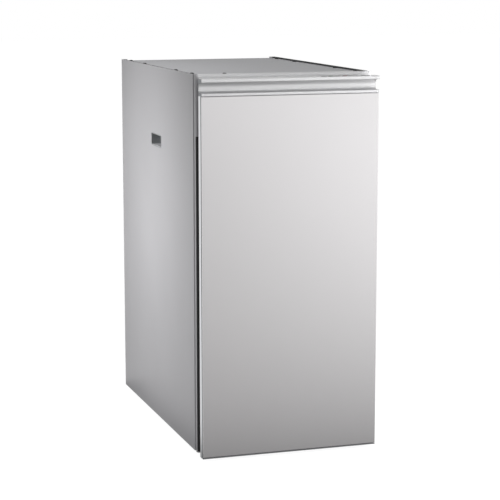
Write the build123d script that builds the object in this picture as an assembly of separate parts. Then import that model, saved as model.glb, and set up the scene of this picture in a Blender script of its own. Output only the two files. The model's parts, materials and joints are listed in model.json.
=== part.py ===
from build123d import *
import os
from math import atan2, cos, hypot, pi, sin

# Undercounter household trash compactor: a pull-out bin drawer under a ram on two screws.
# Millimetres. +X is to the right seen from the front, +Y to the back, +Z up, floor at Z = 0.

# Cabinet shell
cabinet_width = 378.0
cabinet_height = 779.0
cabinet_depth = 622.0
panel = 1.2
bend = 1.2
seam = 1.0
fit = 0.3
back_flange = 14.0
front_flange = 8.0

# Front frame of the cabinet
stile_width = 22.0
stile_depth = 9.6
stile_bend = 5.0
groove_width = 9.0
groove_depth = 2.6
header_height = 140.0
header_bend = 2.6
rail_height = 62.0

# Top panel, its side rails and its screws
top_recess = 3.0
top_flange = 15.0
top_rail_leg = 18.0
top_rail_shelf = 22.0
top_rail_sheet = 1.5
screw_head = 9.0
screw_head_height = 3.6
screw_head_round = 2.1
screw_shank = 4.2
screw_length = 8.0
screw_inset = 11.0
screws_from_front = (64.0, 186.0)
screws_from_back = (174.0, 48.0)
front_screw_edge = 72.0
front_screw_setback = 37.0
gasket_width = 4.4
gasket_height = 2.8

# Finger pockets in the side panels
grip_length = 84.0
grip_height = 28.0
grip_depth = 22.0
grip_round = 4.0
grip_wall = 1.6
grip_flange = 5.0
grip_setback = 309.5
grip_drop = 160.0

# Back panel
vent_margin = 72.0
vent_width = 5.0
vent_pitch = 12.0
vent_rows = 7
vent_columns = 3
vent_drop = 90.0
gland_diameter = 16.0
gland_bore = 9.0
gland_flange = 22.0
gland_lip = 2.0
gland_length = 10.0
gland_edge = 59.0
gland_rise = 110.0

# Base frame and feet
base_sheet = 2.0
base_flange = 25.0
base_side_margin = 28.0
base_end_margin = 44.0
base_round = 16.0
foot_height = 12.0
foot_diameter = 30.0
foot_edge = 2.5
foot_rim = 6.0
foot_taper = 3.0
foot_stem = 16.0
foot_side_inset = 32.0
foot_end_inset = 22.0

# Drive deck and the belt drive under it
deck_rise = 65.0
deck_sheet = 2.5
belt_pitch = 8.0
belt_width = 20.0
belt_tooth_height = 3.4
belt_tooth_root = 4.8
belt_tooth_tip = 2.6
belt_land = 0.7
belt_back = 1.5
belt_running_gap = 0.6
belt_rise = 10.0
screw_teeth = 20
drive_teeth = 16
pulley_flange = 1.5
pulley_flange_rim = 1.4
motor_back_gap = 105.3
tension_passes = 20
drive_shaft = 14.0
drive_shaft_hole = 34.0

# Gear motor, capacitor and control box
gear_length = 120.0
gear_depth = 112.0
gear_height = 50.0
gear_round = 14.0
gear_flange = 12.0
gear_flange_height = 6.0
gear_edge = 3.0
gear_rib = 4.0
gear_rib_pitch = 24.0
gear_rib_count = 4
gear_rib_drop = 8.0
motor_diameter = 108.0
motor_height = 92.0
motor_groove_depth = 1.6
motor_groove_width = 7.6
motor_groove_count = 5
bell_height = 34.0
bell_skirt = 11.0
bell_crown = 64.0
bell_slots = 8
bell_slot_width = 7.0
capacitor_diameter = 36.0
capacitor_height = 84.0
capacitor_gap = 6.0
capacitor_round = 3.0
box_width = 150.0
box_depth = 46.0
box_height = 96.0
box_round = 5.0
box_rise = 420.0

# Power screws and what they turn in
screw_wall_gap = 33.8
screw_diameter = 20.0
journal = 16.0
collar_diameter = 26.0
collar_height = 4.0
bearing_diameter = 44.0
bearing_height = 18.0
bearing_shoulder = 34.6
bearing_flange_height = 9.0
bush_diameter = 24.0
bush_flange = 32.0
bush_flange_height = 2.0
crossbar_width = 76.0
crossbar_height = 16.0
crossbar_sheet = 2.5
running = 0.1

# Ram
ram_setback = 197.5
platen_side_gap = 14.5
platen_length = 332.0
platen_height = 26.0
platen_sheet = 2.5
platen_round = 28.0
platen_edge = 6.0
platen_rib = 3.0
platen_gap = 10.0
column_width = 120.0
column_length = 150.0
column_sheet = 2.5
column_round = 10.0
window_width = 60.0
window_height = 130.0
crossbeam_width = 76.0
crossbeam_overhang = 22.0
crossbeam_height = 28.0
crossbeam_sheet = 3.0
crossbeam_gap = 3.5
nut_flange = 40.0
nut_flange_height = 6.0
nut_body = 30.0
nut_length = 34.0

# Ram guides and shoes
guide_width = 26.0
guide_depth = 35.0
guide_sheet = 2.0
guide_gap = 4.0
shoe_height = 56.0
shoe_clearance = 0.4

# Drawer runners
slide_width = 12.7
slide_height = 46.0
slide_length = 500.0
slide_sheet = 1.5
slide_setback = 20.0
slide_rise = 11.0
slide_web_gap = 0.7
bracket_sheet = 2.0
bracket_foot = 24.0
bracket_height = 60.0
screw_bracket_gap = 2.0

# Drawer chassis and bin
drawer_side_sheet = 2.0
drawer_floor_sheet = 1.5
drawer_floor_height = 30.0
drawer_rise = 8.0
gusset_height = 240.0
gusset_top = 26.0
gusset_foot = 120.0
gusset_round = 50.0
gusset_top_round = 8.0
side_flange = 14.0
tray_length = 407.0
bin_gap = 1.3
bin_end_gap = 5.0
bin_wall = 2.5
bin_draft = 0.5
bin_round = 24.0
bin_foot_round = 8.0
bin_height = 403.0
bin_rim = 6.0
bin_rim_height = 4.0
bin_bead = 2.0
bin_bead_height = 7.0
bin_bead_drops = (62.0, 84.0)

# Drawer front
door_gap = 20.0
door_thickness = 20.0
door_drop = 3.3
trim = 2.3
trim_gap = 4.5
trim_nose = 0.6
face_groove = 0.7
face_sheet = 1.0
face_flange = 2.0
face_bend = 0.8
pan_bead = 4.0
pan_bead_width = 24.0
pan_bead_length = 430.0
pan_bead_pitch = 78.0
pan_bead_count = 3
seal_width = 14.0
seal_inset = 5.0
seal_lift = 4.0
seal_top_drop = 124.0
seal_round = 20.0
seal_crown = 4.0
seal_running_gap = 0.3

# Handle extrusion
lip_proud = 3.0
handle_drop = 6.4
handle_height = 34.4
handle_gap = 0.7
upper_lip = 7.3
lower_lip = 6.0
recess_depth = 20.5
recess_round = 11.0
lower_recess_round = 5.0
lip_round = 1.6
lower_lip_round = 1.2
tongue = 14.0
tongue_sheet = 2.0

# Controls in the handle's upper edge
strip_length = 104.0
strip_width = 13.0
strip_depth = 6.0
strip_round = 3.0
strip_edge = 19.0
strip_setback = 5.0
button_diameter = 9.0
button_height = 4.0
button_proud = 0.8
button_travel = 1.2
button_edge = 0.4
dial_diameter = 10.0
dial_slot = 1.6
dial_slot_depth = 1.2
control_pitch = 30.0

# Magnetic catch
catch_width = 50.0
catch_height = 14.0
catch_depth = 13.0
catch_round = 2.0
catch_drop = 72.0

# Places that several pieces share
half_width = cabinet_width / 2
overall_depth = lip_proud + door_thickness + door_gap + cabinet_depth + gland_lip
lip_front = -overall_depth / 2
face_front = lip_front + lip_proud
door_back = face_front + door_thickness
cabinet_front = door_back + door_gap
cabinet_back = cabinet_front + cabinet_depth
cabinet_bottom = foot_height
cabinet_top = cabinet_bottom + cabinet_height
stile_back = cabinet_front + stile_depth
stile_inner = half_width - stile_width
inner_front = stile_back + groove_width + panel + fit
inner_back = cabinet_back - 2 * panel - fit
inner_half = half_width - panel
screw_x = inner_half - screw_wall_gap
gland_x = half_width - gland_edge
strip_x = half_width - strip_edge - strip_length / 2
vent_length = (cabinet_width - 2 * vent_margin + vent_pitch) / vent_columns - vent_pitch
top_surface = cabinet_top - top_recess
rail_shelf_top = top_surface - panel
base_top = cabinet_bottom + base_sheet
deck_top = cabinet_bottom + deck_rise
deck_bottom = deck_top - deck_sheet
deck_half = inner_half - fit - base_sheet - fit
ram_y = cabinet_front + ram_setback
motor_y = inner_back - motor_back_gap
crossbar_top = rail_shelf_top - top_rail_sheet
crossbar_bottom = crossbar_top - crossbar_height
crossbeam_bottom = crossbar_bottom - crossbeam_gap - crossbeam_height
bracket_outer = screw_x - screw_diameter / 2 - screw_bracket_gap
slide_outer = bracket_outer - bracket_sheet
slide_inner = slide_outer - slide_width
slide_front = cabinet_front + slide_setback
slide_middle = deck_top + slide_rise + slide_height / 2
drawer_bottom = deck_top + drawer_rise
drawer_side_top = deck_top + slide_rise + slide_height
drawer_inner = slide_inner - drawer_side_sheet
tray_back = door_back + tray_length
bin_bottom = drawer_bottom + drawer_floor_sheet
bin_top = bin_bottom + bin_height
bin_half = drawer_inner - drawer_floor_sheet - bin_gap
bin_front = door_back + drawer_floor_sheet + bin_end_gap
bin_back = tray_back - drawer_floor_sheet - bin_end_gap
platen_bottom = bin_top + platen_gap
platen_width = 2 * (bin_half - platen_side_gap)
door_bottom = cabinet_bottom - door_drop
handle_top = cabinet_top - handle_drop
handle_bottom = handle_top - handle_height
face_top = handle_bottom - handle_gap
flange_back = face_front + face_flange
pan_front = face_front + face_sheet + fit
pan_half = half_width - trim - fit
face_bottom = door_bottom + trim + face_groove
grip_y = cabinet_front + grip_setback
grip_z = cabinet_top - grip_drop


def block(x, y, z):
    """Box between a low and a high value on each axis."""
    spans = (x, y, z)
    size = [high - low for low, high in spans]
    centre = [(low + high) / 2 for low, high in spans]
    return Pos(*centre) * Box(*size)


def along_x(section, low, high):
    """Section drawn in (y, z), run along X."""
    return extrude(Plane.YZ.offset(low) * section, amount=high - low)


def along_y(section, low, high):
    """Section drawn in (x, z), run along Y."""
    return extrude(Plane.XZ.offset(-high) * section, amount=high - low)


def along_z(section, low, high):
    """Section drawn in (x, y), run along Z."""
    return extrude(Plane.XY.offset(low) * section, amount=high - low)


def folded(points, sheet, radius):
    """Section of a folded sheet that lies to the right of a path through its outer corners."""
    path = FilletPolyline(*points, radius=radius)
    return make_face(offset(path, amount=sheet, side=Side.RIGHT))


def rounded_face(corners):
    """Face through corners (u, v, radius), each rounded by its own radius."""
    face = make_face(Polyline(*[(u, v) for u, v, radius in corners], close=True))
    for u, v, radius in corners:
        if radius:
            corner = face.vertices().sort_by_distance((u, v, 0))[0]
            face = fillet(corner, radius)
    return face


def turned(points, x, y):
    """Solid turned about a vertical axis at (x, y) from (radius, z) points."""
    outline = make_face(Polyline(*points, close=True))
    return Pos(x, y) * revolve(Plane.XZ * outline, axis=Axis.Z)


def rod(x, y, low, high, diameter):
    """Upright cylinder."""
    return along_z(Pos(x, y) * Circle(diameter / 2), low, high)


def mirrored(shape):
    """The same piece on the other side of the cabinet."""
    return mirror(shape, about=Plane.YZ)


def save(name, *solids):
    """Write one node, from one solid or a group of them."""
    shape = solids[0] if len(solids) == 1 else Compound(children=list(solids))
    shape.label = name
    export_step(shape, f"parts/{name}.step")


def save_pair(name, right):
    """Write a piece and its mirror image as two nodes."""
    save(f"left_{name}", mirrored(right))
    save(f"right_{name}", right)


# Cabinet shell

def grip_outline(extra):
    """Outline of a finger pocket, grown by a margin."""
    length = grip_length + 2 * extra
    height = grip_height + 2 * extra
    return Pos(grip_y, grip_z) * RectangleRounded(length, height, grip_round + extra)


def side_panel():
    """Folded side panel with its back flange, front groove and finger hole."""
    groove_floor = half_width - groove_depth
    path = [
        (half_width - back_flange, cabinet_back - panel),
        (half_width, cabinet_back - panel),
        (half_width, stile_back + groove_width),
        (groove_floor, stile_back + groove_width),
        (groove_floor, stile_back),
        (stile_inner - front_flange, stile_back),
    ]
    wall = along_z(folded(path, panel, bend), cabinet_bottom, cabinet_top)
    return wall - along_x(grip_outline(0), half_width - grip_depth, half_width + panel)


def grip_cup():
    """Moulded finger pocket, held behind the panel by its flange."""
    pocket = along_x(grip_outline(-fit), half_width - grip_depth, half_width)
    flange = along_x(grip_outline(grip_flange), inner_half - grip_wall, inner_half)
    floor = half_width - grip_depth + grip_wall
    hollow = along_x(grip_outline(-fit - grip_wall), floor, half_width + panel)
    return pocket + flange - hollow


def stile():
    """Channel beside the drawer opening, its outer face in line with the side panel."""
    path = [
        (half_width, stile_back),
        (half_width, cabinet_front),
        (stile_inner, cabinet_front),
        (stile_inner, stile_back),
    ]
    return along_z(folded(path, panel, stile_bend), cabinet_bottom, cabinet_top)


def front_pan(low, high):
    """Pressed pan between the stiles, open to the back."""
    half = stile_inner - seam
    body = block((-half, half), (cabinet_front, stile_back), (low, high))
    body = fillet(body.faces().sort_by(Axis.Y)[0].edges(), header_bend)
    hollow = block(
        (-half + panel, half - panel),
        (cabinet_front + panel, stile_back + panel),
        (low + panel, high - panel),
    )
    return body - hollow


def screw_places():
    """Centres of the screws in the top panel."""
    rows = [cabinet_front + setback for setback in screws_from_front]
    rows += [cabinet_back - setback for setback in screws_from_back]
    sides = [(side * (half_width - screw_inset), y) for y in rows for side in (-1, 1)]
    return sides + [(front_screw_edge - half_width, cabinet_front + front_screw_setback)]


def screw_holes(low, high):
    """Clearance holes for the top screws."""
    return [rod(x, y, low, high, screw_shank + fit) for x, y in screw_places()]


def top_panel():
    """Top sheet, folded down at the front and back and notched round the side panels."""
    front = stile_back + panel + fit
    path = [
        (front, top_surface - top_flange),
        (front, top_surface),
        (inner_back, top_surface),
        (inner_back, top_surface - top_flange),
    ]
    half = inner_half - fit
    sheet = along_x(folded(path, panel, bend), -half, half)
    corner = block(
        (half - groove_depth, half + fit),
        (front - fit, inner_front),
        (crossbar_bottom, cabinet_top),
    )
    return sheet - [corner, mirrored(corner)] - screw_holes(top_surface - top_flange, cabinet_top)


def top_rail():
    """Angle along the side panel that carries the top panel."""
    path = [
        (inner_half - top_rail_shelf, rail_shelf_top),
        (inner_half, rail_shelf_top),
        (inner_half, rail_shelf_top - top_rail_leg),
    ]
    rail = along_y(folded(path, top_rail_sheet, top_rail_sheet), inner_front, inner_back - panel - fit)
    return rail - screw_holes(crossbar_bottom, cabinet_top)


def top_screw(x, y):
    """Pan-head screw through the top panel."""
    under = top_surface - screw_length
    head = Pos(x, y, top_surface) * Cylinder(
        screw_head / 2, screw_head_height, align=(Align.CENTER, Align.CENTER, Align.MIN)
    )
    head = fillet(head.edges().sort_by(Axis.Z)[-1], screw_head_round)
    return head + rod(x, y, under, top_surface, screw_shank)


def top_gasket():
    """Rubber strip that lies on the top panel against the side panel's upper edge."""
    outer = inner_half - fit
    heights = (top_surface, top_surface + gasket_height)
    return block((outer - gasket_width, outer), (inner_front, inner_back), heights)


def back_panel():
    """Flat back sheet with rows of vents and a hole for the cord gland."""
    half = half_width - bend
    sheet = block((-half, half), (cabinet_back - panel, cabinet_back), (cabinet_bottom, top_surface))
    column_pitch = vent_length + vent_pitch
    vents = Sketch() + [
        Pos((column - (vent_columns - 1) / 2) * column_pitch, cabinet_top - vent_drop - row * vent_pitch)
        * SlotOverall(vent_length, vent_width)
        for column in range(vent_columns)
        for row in range(vent_rows)
    ]
    gland = Pos(gland_x, cabinet_bottom + gland_rise) * Circle(gland_diameter / 2 + fit / 2)
    return sheet - along_y(vents + gland, cabinet_back - 2 * panel, cabinet_back + panel)


def cord_gland():
    """Flanged bush in the back panel where the supply cord goes in."""
    profile = make_face(
        Polyline(
            (gland_bore / 2, -gland_length),
            (gland_diameter / 2, -gland_length),
            (gland_diameter / 2, 0),
            (gland_flange / 2, 0),
            (gland_flange / 2, gland_lip / 2),
            (gland_diameter / 2, gland_lip),
            (gland_bore / 2, gland_lip),
            close=True,
        )
    )
    bush = revolve(Plane.XZ * profile, axis=Axis.Z)
    return Pos(gland_x, cabinet_back, cabinet_bottom + gland_rise) * (Rot(-90, 0, 0) * bush)


def base_frame():
    """Pressed base tray with a large opening under the belt drive."""
    half = inner_half - fit
    outer = block((-half, half), (inner_front, inner_back), (cabinet_bottom, cabinet_bottom + base_flange))
    inner = block(
        (-half + base_sheet, half - base_sheet),
        (inner_front + base_sheet, inner_back - base_sheet),
        (base_top, cabinet_top),
    )
    opening = Pos(0, (inner_front + inner_back) / 2) * RectangleRounded(
        2 * (half - base_side_margin), inner_back - inner_front - 2 * base_end_margin, base_round
    )
    return outer - inner - along_z(opening, 0, base_top + base_sheet)


def foot(x, y):
    """Moulded glide under a corner of the base: a broad rim that tapers to a stem."""
    rim = foot_diameter / 2
    points = [
        (0, 0),
        (rim - foot_edge, 0),
        (rim, foot_edge),
        (rim, foot_rim),
        (foot_stem / 2, foot_rim + foot_taper),
        (foot_stem / 2, foot_height),
        (0, foot_height),
    ]
    return turned(points, x, y)


def feet():
    """The four glides."""
    x = inner_half - foot_side_inset
    rows = (inner_front + foot_end_inset, inner_back - foot_end_inset)
    return [foot(side * x, y) for side in (-1, 1) for y in rows]


# Frame for the drive and the ram

def screw_bores(low, high, diameter):
    """Holes on the axes of both power screws."""
    return [rod(side * screw_x, ram_y, low, high, diameter) for side in (-1, 1)]


def drive_deck():
    """Bridge over the belt drive that carries the screws, the motor and the runners."""
    path = [(-deck_half, base_top), (-deck_half, deck_top), (deck_half, deck_top), (deck_half, base_top)]
    inset = base_sheet + fit
    deck = along_y(folded(path, deck_sheet, deck_sheet), inner_front + inset, inner_back - inset)
    low = deck_bottom - panel
    high = deck_top + panel
    holes = screw_bores(low, high, journal + 2 * fit)
    return deck - holes - rod(0, belt_drive_y, low, high, drive_shaft_hole)


def upper_crossbar():
    """Channel under the top panel that holds the upper ends of the screws."""
    front = ram_y - crossbar_width / 2
    back = ram_y + crossbar_width / 2
    path = [(back, crossbar_top), (back, crossbar_bottom), (front, crossbar_bottom), (front, crossbar_top)]
    half = inner_half - top_rail_sheet
    bar = along_x(folded(path, crossbar_sheet, crossbar_sheet), -half, half)
    return bar - screw_bores(crossbar_bottom - fit, crossbar_top, bush_diameter + fit)


def upper_bush():
    """Flanged bush for the upper journal of a screw."""
    bore = journal / 2 + running
    body = bush_diameter / 2
    points = [
        (bore, crossbar_bottom + crossbar_sheet),
        (bore, crossbar_top),
        (body, crossbar_top),
        (body, crossbar_bottom + crossbar_sheet + bush_flange_height),
        (bush_flange / 2, crossbar_bottom + crossbar_sheet + bush_flange_height),
        (bush_flange / 2, crossbar_bottom + crossbar_sheet),
    ]
    return turned(points, screw_x, ram_y)


def lower_bearing():
    """Thrust bearing bolted under the deck."""
    bore = journal / 2 + running
    low = deck_bottom - bearing_height
    flange_low = deck_bottom - bearing_flange_height
    points = [
        (bore, low),
        (bearing_shoulder / 2, low),
        (bearing_shoulder / 2, flange_low),
        (bearing_diameter / 2, flange_low),
        (bearing_diameter / 2, deck_bottom),
        (bore, deck_bottom),
    ]
    return turned(points, screw_x, ram_y)


def guide_span():
    """Front and back of a ram guide, and its inner and outer sides."""
    back = ram_y - crossbeam_width / 2 - guide_gap
    outer = inner_half - top_rail_sheet
    return back - guide_depth, back, outer - guide_width, outer


def ram_guide():
    """Upright channel, open to the back, that a guide shoe runs in."""
    front, back, inner, outer = guide_span()
    path = [(outer, back), (outer, front), (inner, front), (inner, back)]
    return along_z(folded(path, guide_sheet, guide_sheet), deck_top, crossbar_top)


# Belt drive

def pitch_radius(teeth):
    """Radius of the belt's pitch line on a pulley."""
    return teeth * belt_pitch / (2 * pi)


def belt_legs(drive_y):
    """Straight runs and arcs of the pitch line, as (length, start, direction, radius)."""
    stops = [
        (-screw_x, ram_y, pitch_radius(screw_teeth)),
        (screw_x, ram_y, pitch_radius(screw_teeth)),
        (0.0, drive_y, pitch_radius(drive_teeth)),
    ]
    normals = []
    for (x0, y0, r0), (x1, y1, r1) in zip(stops, stops[1:] + stops[:1]):
        span = hypot(x1 - x0, y1 - y0)
        along = ((x1 - x0) / span, (y1 - y0) / span)
        lean = (r0 - r1) / span
        square = (1 - lean * lean) ** 0.5
        normals.append((along[0] * lean + along[1] * square, along[1] * lean - along[0] * square))
    legs = []
    for index, (x, y, radius) in enumerate(stops):
        enter = atan2(normals[index - 1][1], normals[index - 1][0])
        leave = atan2(normals[index][1], normals[index][0])
        turn = (leave - enter) % (2 * pi)
        legs.append((radius * turn, (x, y), enter, radius))
        nx, ny = normals[index]
        next_x, next_y, next_radius = stops[(index + 1) % len(stops)]
        start = (x + radius * nx, y + radius * ny)
        run = hypot(next_x + next_radius * nx - start[0], next_y + next_radius * ny - start[1])
        legs.append((run, start, leave, None))
    return legs


def belt_length(drive_y):
    """Length of the pitch line with the drive pulley at a place."""
    return sum(leg[0] for leg in belt_legs(drive_y))


def tensioned_drive_y():
    """Place of the drive pulley near the motor's place where the belt has whole teeth."""
    wanted = round(belt_length(motor_y) / belt_pitch) * belt_pitch
    place = motor_y
    for guess in range(tension_passes):
        slope = belt_length(place + 0.5) - belt_length(place - 0.5)
        place += (wanted - belt_length(place)) / slope
    return place


belt_drive_y = tensioned_drive_y()
belt_path = belt_legs(belt_drive_y)
belt_teeth = round(belt_length(belt_drive_y) / belt_pitch)
belt_low = cabinet_bottom + belt_rise
belt_high = belt_low + belt_width


def belt_point(distance, offset_out):
    """Point beside the pitch line, a distance along it and an offset outwards."""
    for length, start, angle, radius in belt_path:
        if distance <= length:
            break
        distance -= length
    if radius is None:
        nx, ny = cos(angle), sin(angle)
        return start[0] - ny * distance + nx * offset_out, start[1] + nx * distance + ny * offset_out
    angle += distance / radius
    reach = radius + offset_out
    return start[0] + reach * cos(angle), start[1] + reach * sin(angle)


def drive_belt():
    """Toothed belt round the three pulleys."""
    total = belt_teeth * belt_pitch
    corners = [
        (-belt_tooth_root / 2, -belt_land),
        (-belt_tooth_tip / 2, -belt_land - belt_tooth_height),
        (belt_tooth_tip / 2, -belt_land - belt_tooth_height),
        (belt_tooth_root / 2, -belt_land),
    ]
    inner = [
        belt_point((tooth * belt_pitch + shift) % total, depth)
        for tooth in range(belt_teeth)
        for shift, depth in corners
    ]
    outer = [belt_point(tooth * belt_pitch, belt_back) for tooth in range(belt_teeth)]
    band = make_face(Polyline(*outer, close=True)) - make_face(Polyline(*inner, close=True))
    return along_z(band, belt_low, belt_high)


def pulley(teeth, leg, bore):
    """Toothed pulley whose grooves take the belt's teeth, with a flange under the belt."""
    length, centre, enter, radius = belt_path[leg]
    passed = sum(belt_path[before][0] for before in range(leg))
    first = enter - (passed % belt_pitch) / radius
    rim = radius - belt_land - belt_running_gap
    root = rim - belt_tooth_height
    wide = belt_tooth_root / 2 + belt_running_gap
    narrow = belt_tooth_tip / 2 + belt_running_gap
    groove = [(-wide, rim), (-narrow, root), (narrow, root), (wide, rim)]
    outline = []
    for tooth in range(teeth):
        middle = first + tooth * belt_pitch / radius
        for shift, reach in groove:
            angle = middle + shift / radius
            outline.append((reach * cos(angle), reach * sin(angle)))
    flange = Circle(radius + pulley_flange_rim)
    body = along_z(make_face(Polyline(*outline, close=True)), belt_low - fit, belt_high)
    body += along_z(flange, belt_low - fit - pulley_flange, belt_low - fit)
    body -= rod(0, 0, 0, deck_top, bore)
    return Pos(*centre) * body


def power_screw():
    """Screw with its thrust collar, its journals and the plain body of the thread."""
    collar_top = deck_bottom - bearing_height - fit
    points = [
        (0, belt_low - pulley_flange - fit),
        (journal / 2, belt_low - pulley_flange - fit),
        (journal / 2, collar_top - collar_height),
        (collar_diameter / 2, collar_top - collar_height),
        (collar_diameter / 2, collar_top),
        (journal / 2, collar_top),
        (journal / 2, deck_top + fit),
        (screw_diameter / 2, deck_top + fit),
        (screw_diameter / 2, crossbar_bottom - fit),
        (journal / 2, crossbar_bottom - fit),
        (journal / 2, crossbar_top - fit),
        (0, crossbar_top - fit),
    ]
    return turned(points, screw_x, ram_y)


def drive_pulley():
    """Drive pulley on the output shaft of the gear motor."""
    shaft = rod(0, belt_drive_y, belt_low - pulley_flange - fit, deck_top + gear_flange_height, drive_shaft)
    return pulley(drive_teeth, 4, drive_shaft / 2) + shaft


# Gear motor and its electrics

def gear_housing():
    """Cast gear housing on a bolting flange, with a recess for the output shaft."""
    top = deck_top + gear_height
    flange = RectangleRounded(gear_length + 2 * gear_flange, gear_depth, gear_round)
    box = RectangleRounded(gear_length, gear_depth - gear_flange, gear_round)
    body = along_z(flange, deck_top, deck_top + gear_flange_height) + along_z(box, deck_top, top)
    body = fillet(body.faces().sort_by(Axis.Z)[-1].edges(), gear_edge)
    for rib in range(gear_rib_count):
        x = (rib - (gear_rib_count - 1) / 2) * gear_rib_pitch
        rib_x = (x - gear_rib / 2, x + gear_rib / 2)
        body += block(rib_x, (-gear_depth / 2, gear_depth / 2), (deck_top, top - gear_rib_drop))
    body = Pos(0, belt_drive_y) * body
    return body - rod(0, belt_drive_y, deck_top, deck_top + gear_flange_height + fit, drive_shaft + 2 * fit)


def motor_shell():
    """Motor body with cooling ribs turned into it."""
    low = deck_top + gear_height
    rim = motor_diameter / 2
    pitch = motor_height / (motor_groove_count + 1)
    body = rod(0, 0, low, low + motor_height, motor_diameter)
    ring = Circle(rim + panel) - Circle(rim - motor_groove_depth)
    for groove in range(motor_groove_count):
        middle = low + (groove + 1) * pitch
        body -= along_z(ring, middle - motor_groove_width / 2, middle + motor_groove_width / 2)
    return Pos(0, belt_drive_y) * body


def motor_bell():
    """Domed end bell with vents round its crown."""
    low = deck_top + gear_height + motor_height
    rim = motor_diameter / 2
    high = low + bell_height
    points = [(0, low), (rim, low), (rim, low + bell_skirt), (bell_crown / 2, high), (0, high)]
    bell = turned(points, 0, 0)
    slot = block(
        (rim - bell_slot_width, rim + bell_slot_width),
        (-bell_slot_width / 2, bell_slot_width / 2),
        (low + bell_skirt, high),
    )
    slots = [Rot(0, 0, 360 / bell_slots * turn) * slot for turn in range(bell_slots)]
    return Pos(0, belt_drive_y) * (bell - slots)


def capacitor():
    """Run capacitor standing on the deck behind the gear housing."""
    y = inner_back - capacitor_gap - capacitor_diameter / 2
    body = rod(-gear_length / 2, y, deck_top, deck_top + capacitor_height, capacitor_diameter)
    return fillet(body.edges().sort_by(Axis.Z)[-1], capacitor_round)


def control_box():
    """Covered box for the relays, on the inside of the back panel."""
    back = cabinet_back - panel
    low = cabinet_bottom + box_rise
    body = block((-box_width / 2, box_width / 2), (back - box_depth, back), (low, low + box_height))
    return fillet(body.faces().sort_by(Axis.Y)[0].edges(), box_round)


# Ram

def platen():
    """Pressed platen, open on top, with crossed stiffening ribs."""
    centre = Pos(0, ram_y)
    outline = centre * RectangleRounded(platen_width, platen_length, platen_round)
    hollow = centre * RectangleRounded(
        platen_width - 2 * platen_sheet, platen_length - 2 * platen_sheet, platen_round - platen_sheet
    )
    pan = along_z(outline, platen_bottom, platen_bottom + platen_height)
    pan = fillet(pan.faces().sort_by(Axis.Z)[0].edges(), platen_edge)
    floor = platen_bottom + platen_sheet
    pan -= along_z(hollow, floor + platen_edge, platen_bottom + platen_height + fit)
    inner_floor = centre * RectangleRounded(
        platen_width - 2 * platen_edge, platen_length - 2 * platen_edge, platen_round - platen_edge
    )
    pan -= along_z(inner_floor, floor, floor + platen_edge + fit)
    rib_top = platen_bottom + platen_height - platen_edge
    rib_half_x = platen_width / 2 - platen_edge
    rib_half_y = platen_length / 2 - platen_edge
    for side in (-1, 1):
        x = side * (column_width / 2 + platen_rib)
        y = ram_y + side * (column_length / 2 + platen_rib)
        rib_x = (x - platen_rib / 2, x + platen_rib / 2)
        rib_y = (y - platen_rib / 2, y + platen_rib / 2)
        pan += block(rib_x, (ram_y - rib_half_y, ram_y + rib_half_y), (floor, rib_top))
        pan += block((-rib_half_x, rib_half_x), rib_y, (floor, rib_top))
    return pan


def ram_column():
    """Hollow column between platen and crossbeam, with a window in each face."""
    centre = Pos(0, ram_y)
    low = platen_bottom + platen_sheet
    tube = RectangleRounded(column_width, column_length, column_round) - RectangleRounded(
        column_width - 2 * column_sheet, column_length - 2 * column_sheet, column_round - column_sheet
    )
    body = along_z(centre * tube, low, crossbeam_bottom)
    middle = (low + platen_height + crossbeam_bottom) / 2
    window = SlotOverall(window_height, window_width, rotation=90)
    body -= along_y(Pos(0, middle) * window, ram_y - column_length, ram_y + column_length)
    return body - along_x(Pos(ram_y, middle) * window, -column_width, column_width)


def crossbeam():
    """Channel across the cabinet, open on top, that the power nuts push on."""
    front = ram_y - crossbeam_width / 2
    back = ram_y + crossbeam_width / 2
    top = crossbeam_bottom + crossbeam_height
    path = [(back, top), (back, crossbeam_bottom), (front, crossbeam_bottom), (front, top)]
    half = screw_x + crossbeam_overhang
    beam = along_x(folded(path, crossbeam_sheet, crossbeam_sheet), -half, half)
    return beam - screw_bores(crossbeam_bottom - fit, top, nut_body + fit)


def power_nut():
    """Flanged nut that stands in the crossbeam and hangs through it."""
    bore = screw_diameter / 2 + fit
    seat = crossbeam_bottom + crossbeam_sheet
    points = [
        (bore, seat + nut_flange_height - nut_length),
        (nut_body / 2, seat + nut_flange_height - nut_length),
        (nut_body / 2, seat),
        (nut_flange / 2, seat),
        (nut_flange / 2, seat + nut_flange_height),
        (bore, seat + nut_flange_height),
    ]
    return turned(points, screw_x, ram_y)


def guide_shoe():
    """Nylon shoe on the front of the crossbeam that runs in the guide."""
    front, back, inner, outer = guide_span()
    gap = guide_sheet + shoe_clearance
    middle = crossbeam_bottom + crossbeam_height / 2
    reach = ram_y - crossbeam_width / 2
    heights = (middle - shoe_height / 2, middle + shoe_height / 2)
    body = block((inner + gap, outer - gap), (front + gap, reach), heights)
    return fillet(body.faces().sort_by(Axis.Y)[0].edges(), guide_sheet)


# Drawer runners

def slide_bracket():
    """Angle on the deck that carries a runner."""
    path = [
        (bracket_outer, deck_top + bracket_height),
        (bracket_outer, deck_top),
        (bracket_outer - bracket_foot, deck_top),
    ]
    return along_y(folded(path, bracket_sheet, bracket_sheet), slide_front, slide_front + slide_length)


def runner(section):
    """A runner member along the drawer's travel."""
    return along_y(section, slide_front, slide_front + slide_length)


def outer_channel(step):
    """Runner channel open towards the drawer, one nesting step in from the cabinet."""
    inset = step * (slide_sheet + fit)
    outer = slide_outer - inset
    inner = slide_inner + slide_sheet + slide_web_gap
    low = slide_middle - slide_height / 2 + inset
    high = slide_middle + slide_height / 2 - inset
    path = [(inner, high), (outer, high), (outer, low), (inner, low)]
    return folded(path, slide_sheet, slide_sheet)


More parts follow.
